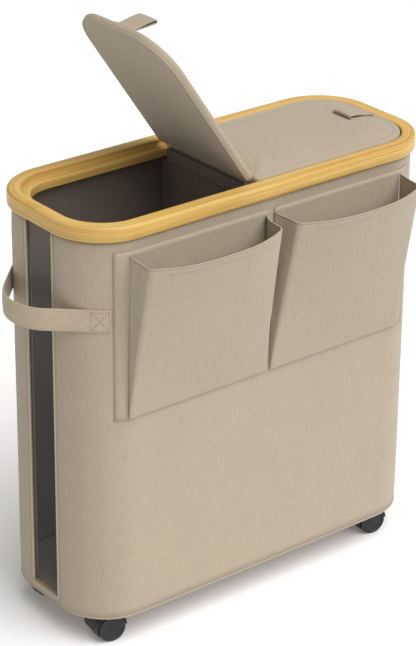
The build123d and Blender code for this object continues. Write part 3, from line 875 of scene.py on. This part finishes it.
def padded_lid(name, side):
    """Padded cover with a rolled edge, a stitched groove round it and a crowned middle."""
    edge, low_edge = 0.0050, 0.0030         # radii of the rolled edge, above and below its middle
    turn = np.linspace(0, pi / 2, 6)
    half = LID_T / 2

    def rolled(radius, rise, turns):
        """(inset, height, inset in the cloth's flat cut), from the middle of the edge."""
        return [(radius * (1 - np.cos(t)), half + rise * np.sin(t), radius - (pi / 2 - t) * radius)
                for t in turns]

    top = rolled(edge, half - BORDER_DROP, turn)
    flat = [(0.0062, 0.05), (0.0078, -0.1), (0.0087, -0.55), (LID_STITCH, -0.85), (0.0097, -0.55),
            (0.0107, -0.1), (0.0130, 0.25), (0.0170, 0.4)]
    top += [(inset, LID_T + z * 0.001 - border(inset), inset) for inset, z in flat]
    under = rolled(low_edge, -half, turn[1:])
    flat = [(0.0036, 0.12), (LID_UNDER_SEAM, 0.55), (0.0048, 0.25), (0.0060, 0.10), (0.0090, 0.08),
            (0.0130, 0.1)]
    under += [(inset, z * 0.001, inset) for inset, z in flat]

    def ring_at(inset, height):
        return line_of(*lid_outline(side, inset).T, LID_Z + height)

    def closing(last, deepest, lift):
        """Rings from the last one to the lid's middle line, which close the panel."""
        start = ring_at(last, deepest)
        low, high = start[:, 0].min() + 0.055, start[:, 0].max() - 0.055
        spine = start.copy()
        spine[:, 0], spine[:, 1] = np.clip(start[:, 0], low, high), CENTRE.y
        fractions = np.array([0.12, 0.28, 0.46, 0.65, 0.83, 1.0])
        rings = [start + (spine - start) * t for t in fractions]
        for ring, t in zip(rings, fractions):
            ring[:, 2] += lift * (1 - (1 - t) ** 2)
        return rings

    top_rings = [ring_at(inset, z) for inset, z, _ in top] + closing(top[-1][0], top[-1][1], CROWN)
    under_rings = [ring_at(inset, z) for inset, z, _ in under] + closing(under[-1][0], under[-1][1], 0.0)

    def flat_cut(rows, rings):
        return [lid_outline(side, cut) for _, _, cut in rows] + [ring[:, :2] for ring in rings[len(rows):]]

    cuts = np.array(flat_cut(under, under_rings)[::-1] + flat_cut(top, top_rings))
    points = np.array(under_rings[::-1] + top_rings)
    uv = np.concatenate([cuts, cuts[:, :1]], axis=1)
    lid = f"{name.split('_')[0]}_lid"
    made = grid(name, points, uv, "lid", lid, wrap_u=True)
    tidy(made)

    place = np.array([v.co for v in made.data.vertices])
    groove = np.array([lid_outline(side, LID_STITCH), lid_outline(side, LID_UNDER_SEAM)])
    backed = (place[:, 2] < LID_Z + 0.0011)
    near_top = np.min(np.linalg.norm(place[:, None, :2] - groove[0][None], axis=2), axis=1) < 3e-4
    near_under = np.min(np.linalg.norm(place[:, None, :2] - groove[1][None], axis=2), axis=1) < 3e-4
    high_up = place[:, 2] > LID_Z + half
    pinned = np.flatnonzero(backed | (near_top & high_up) | (near_under & ~high_up))
    inflate(made, pinned, 3.0, 0.0011)

    # Puckers drawn in by the stitches, and slow unevenness in the padding.
    place = np.array([v.co for v in made.data.vertices])
    inset = lid_inset(side, place)
    upper = ramp(place[:, 2], LID_Z + half, LID_Z + half + 0.003)
    pull = np.exp(-((inset - LID_STITCH) / 0.0028) ** 2)
    place[:, 2] += upper * 0.00016 * pull * drift(place[:, 0], place[:, 1], 0.010, 21)
    place[:, 2] += upper * 0.00028 * ramp(inset, 0.012, 0.04) * drift(place[:, 0], place[:, 1], 0.085, 22)
    made.data.vertices.foreach_set("co", place.astype(np.float32).ravel())
    made.data.update()
    raise_left(smooth(made), side)
    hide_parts(f"{lid}_cover", f"{lid}_foam")

    line = line_of(*lid_outline(side, LID_STITCH).T, LID_TOP - 0.00075 - border(LID_STITCH))
    raise_left(stitches(f"{lid}_stitches", line, UP, "beige_fabric", lid, closed=True), side)
    line = line_of(*lid_outline(side, 0.0018).T, LID_Z + 0.0008)
    cord = tube(f"{lid}_piping", line, 0.0006, "binding", "beige_fabric", lid, closed=True, sides=8)
    raise_left(cord, side)


def lid_inset(side, place):
    """How far in from the lid's edge each point is, in plan."""
    far = BAND_IN[0] - LID_GAP + side * (CENTRE.x - HINGE.x)
    x = side * (place[:, 0] - HINGE.x)
    y = np.abs(place[:, 1] - CENTRE.y)
    hy = BAND_IN[1] - LID_GAP
    dx, dy = x - (far - LID_OUTER_R), y - (hy - LID_OUTER_R)
    round_end = np.where((dx > 0) & (dy > 0), LID_OUTER_R - np.hypot(dx, dy), np.minimum(far - x, hy - y))
    return np.minimum(round_end, x - LID_END_GAP)


def smooth_path(points, per_span=6):
    """A Catmull-Rom curve through a few points."""
    p = np.asarray(points, float)
    p = np.vstack([2 * p[0] - p[1], p, 2 * p[-1] - p[-2]])
    t = np.linspace(0, 1, per_span, endpoint=False)[:, None]
    made = []
    for a, b, c, d in zip(p, p[1:], p[2:], p[3:]):
        made.append(0.5 * (2 * b + (c - a) * t + (2 * a - 5 * b + 4 * c - d) * t ** 2
                           + (3 * b - a - 3 * c + d) * t ** 3))
    return np.vstack(made + [p[-2:-1]])


def pull_tab(name, side, slope):
    """Folded cloth loop: both plies sewn flat to the lid, the fold standing off it towards the hinge."""
    ply, foot = 0.0012, 0.0052
    bend = TAB_L - TAB_OPEN / 2
    low_ply = [(-foot, -0.0004), (-0.0022, 0.0004)]
    rise = [(0.004, 0.0009), (0.012, 0.0006), (0.021, 0.0004), (bend - 0.001, 0.0006)]
    tip_r = (TAB_OPEN - ply) / 2
    tip = [(bend + tip_r * 1.15 * cos(a), TAB_OPEN / 2 + tip_r * sin(a)) for a in (-0.9, 0.0, 0.9)]
    back = [(bend - 0.001, TAB_OPEN - 0.0006), (0.021, 0.0042), (0.012, 0.0032), (0.004, 0.0022)]
    top_ply = [(-0.0022, 0.0017), (-foot, 0.0009)]

    def lean(points):
        return [(x * cos(slope) - n * sin(slope), x * sin(slope) + n * cos(slope)) for x, n in points]

    path = smooth_path(low_ply + lean(rise + tip + back) + top_ply, 5)
    across = np.linspace(-TAB_W / 2, TAB_W / 2, 13)
    x_grid, y_grid = np.meshgrid(path[:, 0], across)
    z_grid = np.meshgrid(path[:, 1], across)[0]
    # The free end is slightly bowed across its width.
    free = ramp(x_grid, 0.006, bend * max(cos(slope), 0.4))
    z_grid = z_grid + 0.0009 * free * (1 - (2 * y_grid / TAB_W) ** 2)
    root_x = side * (BAND_IN[0] - LID_GAP - TAB_INSET) + CENTRE.x
    rows = np.stack([root_x - side * x_grid, CENTRE.y + y_grid, LID_TOP + 0.0002 + z_grid], axis=-1)
    length = arc_lengths(path)
    uv = np.stack([np.meshgrid(length, across)[1], np.meshgrid(length, across)[0]], axis=-1)
    lid = f"{name.split('_')[0]}_lid"
    tab = grid(name, rows, uv, "lid", lid)
    tidy(tab)
    smooth(thicken(tab, ply * 0.92, 0.0))
    raise_left(tab, side)
    finished(tab, "beige_fabric", f"{name.split('_')[0]}_pull_tab")
    sewn_y = np.linspace(-TAB_W / 2 + 0.0015, TAB_W / 2 - 0.0015, 14)
    line = line_of(root_x + side * 0.0036, CENTRE.y + sewn_y, LID_TOP + 0.0002 + 0.0021)
    raise_left(stitches(f"{name}_stitches", line, UP, "beige_fabric", lid), side)


# ---- strap ----------------------------------------------------------------------------------
def strap_line():
    """The strap's middle line in plan, front end first, its outward normals, and its arc lengths."""
    radius = BODY_R + STRAP_T / 2
    corner_x, corner_y = BODY_HX - BODY_R, BODY_HY - BODY_R

    def on_corner(angle):
        return np.array((-corner_x - radius * cos(angle), -corner_y - radius * sin(angle)))

    start = on_corner(STRAP_LEAVES)
    apex = -BODY_HX - STRAP_REACH
    gap_x, gap_y = start[0] - apex, -start[1]
    s, c = sin(STRAP_LEAVES), cos(STRAP_LEAVES)
    bow = (gap_y * s - gap_x * c) / (s * s - (1 - c) * c)
    run = (gap_x - (1 - c) * bow) / s
    turn = start + run * np.array((-s, c))
    sewn = [on_corner(a) for a in np.linspace(STRAP_ENDS, STRAP_LEAVES, 12)]
    free = [start + (turn - start) * t for t in np.linspace(0, 1, 12)[1:]]
    arc = [np.array((apex + bow - bow * cos(a), -bow * sin(a))) for a in np.linspace(STRAP_LEAVES, 0, 22)[1:]]
    half = np.array(sewn + free + arc)
    line = np.vstack([half, half[-2::-1] * (1, -1)]) + (CENTRE.x, CENTRE.y)
    way = frame_along(line, False)
    normals = np.column_stack([-way[:, 1], way[:, 0]])
    lengths = arc_lengths(line)
    return line, normals, lengths


def strap():
    """Webbing sewn round both left corners, standing off the end as a loop."""
    low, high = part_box("strap_handle")
    mid_z = (low.z + high.z) / 2
    line, normals, lengths = strap_line()
    half, thick, edge = STRAP_W / 2, STRAP_T / 2, 0.0008
    section = rounded_profile([(-thick, -half, edge), (thick, -half, edge), (thick, half, edge),
                               (-thick, half, edge)], 4)
    dense = densify(section, 0.003)
    total = lengths[-1]
    loose = ramp(lengths, 0.03, 0.09) * ramp(total - lengths, 0.03, 0.09)
    rings = []
    for p, n, slack, at in zip(line, normals, loose, lengths):
        # The free loop cups slightly and hangs a touch lower in its middle.
        cup = slack * 0.0009 * (1 - (dense[:, 1] / half) ** 2)
        flat = p + n * (dense[:, :1] + cup[:, None])
        drop = -0.0015 * slack * sin(pi * at / total)
        rings.append(np.column_stack([flat, mid_z + drop + dense[:, 1]]))
    points = np.array(rings)
    around = arc_lengths(dense, closed=True)
    uv = np.stack(np.meshgrid(around, lengths), axis=-1)
    made = grid("strap", points, uv, "webbing", wrap_u=True)
    with editing(made) as bm:
        cap_ends(bm, len(line), len(dense))
    tidy(made)
    finished(made, "beige_fabric", "strap_handle")

    def on_strap(at, across):
        """Points on the strap's outer face, and their normals."""
        p = np.column_stack([np.interp(at, lengths, line[:, k]) for k in (0, 1)])
        n = unit(np.column_stack([np.interp(at, lengths, normals[:, k]) for k in (0, 1)]))
        slack = np.interp(at, lengths, loose)
        lift = thick + 0.0001 + slack * 0.0009 * (1 - (across / half) ** 2)
        drop = -0.0015 * slack * np.sin(pi * at / total)
        return np.column_stack([p + n * lift[:, None], mid_z + drop + across]), line_of(*n.T, 0.0)

    box_a, box_b, tall, back = 0.0022, 0.0215, 0.0106, 0.0405
    corners = [(box_a, -tall), (box_b, -tall), (box_b, tall), (box_a, tall), (box_a, -tall)]
    seams = [(corners[k], corners[k + 1]) for k in range(4)]
    seams += [((box_a, -tall), (box_b, tall)), ((box_a, tall), (box_b, -tall)),
              ((back, -tall - 0.001), (back, tall + 0.001))]
    for label, far in (("front", False), ("back", True)):
        for k, ((s0, z0), (s1, z1)) in enumerate(seams):
            t = np.linspace(0, 1, 12)
            at, across = s0 + (s1 - s0) * t, z0 + (z1 - z0) * t
            path, out = on_strap(total - at if far else at, across)
            stitches(f"strap_stitches_{label}_{k}", path, out, "beige_fabric",
                     finish="dark_thread" if k < 6 else "thread", pitch=0.0027, radius=0.00032)
    for k, across in enumerate((-half + 0.0021, half - 0.0021)):
        at = np.linspace(0.024, total - 0.024, 160)
        path, out = on_strap(at, np.full(160, across))
        stitches(f"strap_edge_stitches_{k}", path, out, "beige_fabric", radius=0.00022)


# ---- pockets --------------------------------------------------------------------------------
def pocket(name, side):
    """Slanted bowed panel, two soft gussets, stitched back panel and the bound mouth."""
    front_low, front_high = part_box(f"{name}_pocket_front")
    mid = middle(front_low.x, front_high.x)
    z0, z1 = front_low.z, front_high.z
    foot_half = (front_high.x - front_low.x) / 2
    mouth_half = foot_half - 0.003
    wall = body_low.y - 0.001
    depth = wall - front_low.y - 0.0012
    corner_r, rows, columns = 0.0035, 26, 37
    v = np.linspace(0, 1, rows)
    seed = 31 if side < 0 else 47

    def half_width(at):
        return foot_half + (mouth_half - foot_half) * at - 0.0004

    def corner_depth(at):
        """How far the panel's two edges stand off the wall."""
        return 0.0012 + (depth - POCKET_BOW * 0.62) * at ** 1.04

    def bow(at):
        return POCKET_BOW * 1.25 * at ** 1.25

    u = np.sin(np.linspace(-pi / 2, pi / 2, columns))
    u_grid, v_grid = np.meshgrid(u, v)
    half = half_width(v_grid)
    turn_in = np.clip((np.abs(u_grid) * half - (half - corner_r)) / corner_r, 0, 1)
    x = mid + np.sign(u_grid) * np.where(turn_in > 0, half - corner_r + corner_r * np.sin(turn_in * pi / 2),
                                        np.abs(u_grid) * half)
    out = corner_depth(v_grid) + bow(v_grid) * (1 - np.abs(u_grid) ** 2.5)
    out = out - corner_r * np.minimum(1, v_grid * 3) * (1 - np.cos(turn_in * pi / 2))
    # The two pockets' inner feet nearly meet.
    x = x - side * FOOT_SPREAD * (1 - v_grid) * np.clip(-side * u_grid, 0, 1)
    along, up = u_grid * half, v_grid * (z1 - z0)
    fold = drift(along * 0.8, up * 0.5, 0.12, seed) * 0.0012 + drift(along, up * 0.2, 0.03, seed + 1) * 0.0003
    out = out + fold * v_grid * (1 - u_grid ** 6)
    sag = -0.0035 * v_grid ** 3 * (1 - u_grid ** 2) - 0.002 * v_grid ** 4
    points = np.stack([x, wall - out, z0 + up + sag], axis=-1)
    panel = grid(f"{name}_pocket_panel", points, np.stack([along, up], axis=-1), "pocket")
    thicken(tidy(panel), 0.0014, 0.0)
    smooth(panel)
    finished(panel, "beige_fabric", f"{name}_pocket_front")

    mouth = [points[-1]]
    for label, way in (("left", -1), ("right", 1)):
        outer = way == side
        edge_x, edge_out = points[:, 0 if way < 0 else -1, 0], wall - points[:, 0 if way < 0 else -1, 1]
        edge_z = points[:, 0 if way < 0 else -1, 2]
        flare = (0.0004 if outer else 0.006) * v
        t = np.linspace(0, 1, 12)[None]
        # In plan each row bends from the wall round to the panel's edge.
        root_x, tip_x = (edge_x + way * flare)[:, None], edge_x[:, None]
        tuck_x = tip_x + way * (0.25 * flare)[:, None]
        gusset_x = (1 - t) ** 2 * root_x + 2 * t * (1 - t) * tuck_x + t ** 2 * tip_x
        gusset_out = 2 * t * (1 - t) * (0.30 * edge_out)[:, None] + t ** 2 * edge_out[:, None]
        slack = drift(t * 0.05 + way, (v * (z1 - z0))[:, None], 0.09, seed + 5 + way)
        belly = 0.0016 * np.sin(pi * t) * slack * v[:, None]
        rise = (0.0030 * (1 - t) ** 2) * v[:, None] ** 3
        side_points = np.stack([gusset_x + way * belly, wall - gusset_out - 0.0002,
                                np.broadcast_to(edge_z[:, None], gusset_x.shape) + rise], axis=-1)
        steps = np.linalg.norm(np.diff(side_points, axis=1), axis=2)
        reach = np.concatenate([np.zeros((rows, 1)), np.cumsum(steps, axis=1)], axis=1)
        uv = np.stack([reach, np.broadcast_to((v * (z1 - z0))[:, None], reach.shape)], axis=-1)
        gusset = grid(f"{name}_pocket_gusset_{label}", side_points, uv, "pocket")
        thicken(tidy(gusset, 1e-6), 0.0011, 0.0)
        smooth(gusset)
        finished(gusset, "beige_fabric", f"{name}_pocket_{'outer' if outer else 'inner'}_gusset")
        mouth.append(side_points[-1, ::-1] if way < 0 else side_points[-1])
    binding_line = np.vstack([mouth[1][::-1], mouth[0][1:-1], mouth[2][::-1]])
    binding_line = resample(binding_line + (0, 0, 0.0003), 0.004)[0]
    trim = tube(f"{name}_pocket_mouth", binding_line, 0.00085, "pocket", "binding", squash=0.9)
    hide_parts(f"{name}_pocket_binding")
    hem = points[-1, 1:-1] + np.array((0, -0.0009, -0.0075))
    hem[:, 1] += depth / (z1 - z0) * 0.0075
    stitches(f"{name}_pocket_hem_stitches", hem, (0, -1, 0), "beige_fabric", radius=0.00024)
    pocket_back(name, side, mid, foot_half, wall)


def pocket_back(name, side, mid, foot_half, wall):
    """Back panel against the wall: its outer flange is turned under and stitched twice."""
    low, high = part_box(f"{name}_pocket_back")
    hx, hy, r = BODY_HX + 0.0006, BODY_HY + 0.0006, BODY_R + 0.0006
    marks = plan_marks(hx, hy, r)

    def along(x):
        """Arc length of a place on the front wall, past the corner too."""
        return marks[1] + (x - (CENTRE.x - (hx - r)))

    inner, outer = along(mid - side * (foot_half + 0.002)), along(mid + side * (foot_half + FLANGE_W))
    start, end = min(inner, outer), max(inner, outer)
    s = stations(end - start, [0.0055, end - start - 0.0055], 0.006) + start
    z = stations(high.z - low.z, [0.006, high.z - low.z - 0.006], 0.009) + low.z
    points, normals = plan(s, hx, hy, r)
    around, up = np.meshgrid(s, z)
    # A turned-under hem is thicker round the edge, with a shallow dip along its stitching.
    rim_gap = np.minimum(np.minimum(around - start, end - around), np.minimum(up - low.z, high.z - up))
    lift = 0.0004 * (1 - ramp(rim_gap, 0.0050, 0.0064)) - 0.0003 * np.exp(-((rim_gap - 0.0055) / 0.0007) ** 2)
    flat = points[None] + normals[None] * lift[..., None]
    rows = np.concatenate([flat, up[..., None]], axis=2)
    back = grid(f"{name}_pocket_back_panel", rows, np.stack([around, up], axis=-1), "pocket")
    thicken(tidy(back), 0.0011, 0.0)
    finished(back, "beige_fabric", f"{name}_pocket_back")
    edge_s = outer - side * 0.0056
    heights = np.linspace(low.z + 0.003, high.z - 0.003, 50)
    for k, inset in enumerate((0.0, 0.0041)):
        p, n = plan(np.full(50, edge_s + side * inset), hx, hy, r)
        line = np.column_stack([p + n * (0.00075 + 0.0003 * (k == 1)), heights])
        stitches(f"{name}_pocket_flange_stitches_{k}", line, line_of(*n.T, 0.0), "beige_fabric",
                 radius=0.00024)


# ---- casters --------------------------------------------------------------------------------
def lathe(name, profile, centre, axis, finish, body, turns=56):
    """A turned solid from (radius, along) points about an axis."""
    axis = np.array(axis, float) / np.linalg.norm(axis)
    first = np.cross(axis, (0, 0, 1.0))
    first /= np.linalg.norm(first)
    second = np.cross(axis, first)
    turn = np.linspace(0, 2 * pi, turns, endpoint=False)
    profile = np.asarray(profile, float)
    rings = (np.array(centre) + profile[:, 1][:, None, None] * axis
             + profile[:, 0][:, None, None] * (first * np.cos(turn)[:, None]
                                               + second * np.sin(turn)[:, None]))
    across = arc_lengths(profile, closed=True)
    uv = np.stack(np.meshgrid(np.linspace(0, 2 * pi * profile[:, 0].max(), turns + 1), across), axis=-1)
    return tidy(grid(name, rings, uv, finish, body, wrap_u=True, wrap_v=True))


def wheel(node, body, side):
    """Tread with two shallow grooves, dished outer face with a raised hub, and a blind axle bore."""
    low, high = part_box(node)
    joint = next(j for j in frame["joints"] if j["child"] == body)
    axis = Vector(joint["axis"]).normalized()
    centre = (low + high) / 2
    radius = (high.z - low.z) / 2
    width = abs((high - low).y) / abs(axis.y) - 2 * radius * abs(axis.x) / abs(axis.y)
    half, bore, hub, rim_r = width / 2, 0.0026, 0.0045, radius - 0.0035
    outer = [
        (1e-5, half - 0.0012, 0), (1e-5, half - 0.0004, 0), (hub, half - 0.0004, 0.0004),
        (hub + 0.0008, half - 0.0010, 0.0004), (rim_r - 0.0008, half - 0.0010, 0.0004),
        (rim_r, half - 0.0002, 0.0005), (radius - 0.0011, half - 0.0001, 0.0004),
        (radius, half - 0.0022, 0.0011)]
    groove = []
    for at in (0.0022, -0.0022):
        groove += [(radius, at + 0.0005, 0.0001), (radius - 0.0005, at + 0.0003, 0.0001),
                   (radius - 0.0005, at - 0.0003, 0.0001), (radius, at - 0.0005, 0.0001)]
    inner = [(radius, -half + 0.0022, 0.0011), (radius - 0.0011, -half, 0.0004), (bore, -half, 0.0001),
             (bore, half - 0.0012, 0)]
    profile = rounded_profile(outer + groove + inner, 3)
    profile[:, 1] *= side
    made = lathe(f"{body}_tyre", profile, centre, axis, "wheel", body)
    made.modifiers.new("flat_faces", "WEIGHTED_NORMAL").keep_sharp = True
    finished(made, "wheel_black", node)


def casters():
    """The four casters' eight wheels."""
    for end in ("left", "right"):
        for face in ("front", "back"):
            wheel(f"{face}_{end}_caster_wheel_a", f"{face}_{end}_wheel_a", -1)
            wheel(f"{face}_{end}_caster_wheel_b", f"{face}_{end}_wheel_b", 1)


def carried_over():
    """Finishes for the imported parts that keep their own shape."""
    kinds = [("base_board", "wood"), ("_board", "board"), ("_hood", "hood"), ("_plate", "steel"),
             ("_axle", "steel"), ("screws", "steel")]
    for name, part in frame["nodes"].items():
        finish = next((kind for ending, kind in kinds if name.endswith(ending)), None)
        if finish is None or part.hide_render:
            continue
        part.data.materials.clear()
        part.data.materials.append(finishes[finish])


def floor_pad():
    """Loose padded insert on the base, covered in the lining cloth."""
    low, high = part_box("floor_insert")
    hx, hy = (high.x - low.x) / 2, (high.y - low.y) / 2
    r = BODY_R - (BODY_HX - hx)
    length = plan_marks(hx, hy, r)[-1]
    s = stations(length, plan_marks(hx, hy, r)[:-1], 0.008)[:-1]
    rings = []
    thick = high.z - low.z
    points, normals = plan(s, hx, hy, r)
    for inset, z in ((0.006, 0), (0.0014, 0), (0.0004, 0.25), (0.0, 0.5), (0.0004, 0.75), (0.0014, 0.96),
                     (0.0045, 1.0), (0.0060, 0.78), (0.0075, 1.0), (0.012, 1.12)):
        rings.append(line_of(*(points - normals * inset).T, low.z + thick * z))
    spine = rings[-1].copy()
    spine[:, 0] = np.clip(spine[:, 0], CENTRE.x - hx + hy, CENTRE.x + hx - hy)
    spine[:, 1] = CENTRE.y
    for t in (0.2, 0.45, 0.7, 1.0):
        ring = rings[9] + (spine - rings[9]) * t
        ring[:, 2] = low.z + thick * 1.12
        rings.append(ring)
    under = rings[0] + (spine - rings[0]) * 1.0
    under[:, 2] = low.z
    rings.insert(0, under)
    points = np.array(rings)
    uv = np.concatenate([points[..., :2], points[:, :1, :2]], axis=1)
    pad = grid("floor_pad", points, uv, "lining", wrap_u=True)
    tidy(pad)
    finished(pad, "grey_lining", "floor_insert")


# ---- floor and light ------------------------------------------------------------------------
def studio():
    """Plain pale floor, and one broad soft key from the front right under an even sky."""
    p = Paint("pale_floor", 0.9, Specular_IOR_Level=0.1, Emission_Color=(1, 1, 1, 1), Emission_Strength=0.12)
    place = p.object_place()
    tone = p.tint(p.flat(srgb(226, 226, 227)), p.noise(place, 3.0), 0.99, 1.01)
    mesh = bpy.data.meshes.new("floor")
    corners = [(x * FLOOR_REACH, y * FLOOR_REACH, 0) for x, y in ((-1, -1), (1, -1), (1, 1), (-1, 1))]
    mesh.from_pydata(corners, [], [(0, 1, 2, 3)])
    mesh.materials.append(p.finish(tone))
    floor = bpy.data.objects.new("floor", mesh)
    scene.collection.objects.link(floor)

    world = bpy.data.worlds.new("studio")
    world.use_nodes = True
    sky = world.node_tree.nodes["Background"].inputs
    sky["Color"].default_value, sky["Strength"].default_value = (1.0, 0.965, 0.915, 1), SKY_STRENGTH
    scene.world = world
    data = bpy.data.lights.new("key", "SUN")
    data.angle, data.energy = KEY_SPREAD, KEY_POWER
    made = bpy.data.objects.new("key", data)
    back = toward(KEY_AZIMUTH, KEY_ELEVATION)
    made.location = Vector((CENTRE.x, CENTRE.y, 0.3)) + back * 2
    made.rotation_euler = (-back).to_track_quat("-Z", "Y").to_euler()
    scene.collection.objects.link(made)
    scene.view_settings.view_transform = "Standard"


rim()
body_cloth()
window()
inside()
floor_pad()
fold_gusset("left_fold_leaf", -1, LID_REST)
fold_gusset("right_fold_leaf", 1, 0.0)
for label, side, slope in (("left", -1, TAB_STAND), ("right", 1, TAB_LIE)):
    padded_lid(f"{label}_lid_padded", side)
    pull_tab(f"{label}_tab", side, slope)
strap()
pocket("left", -1)
pocket("right", 1)
casters()
carried_over()
studio()
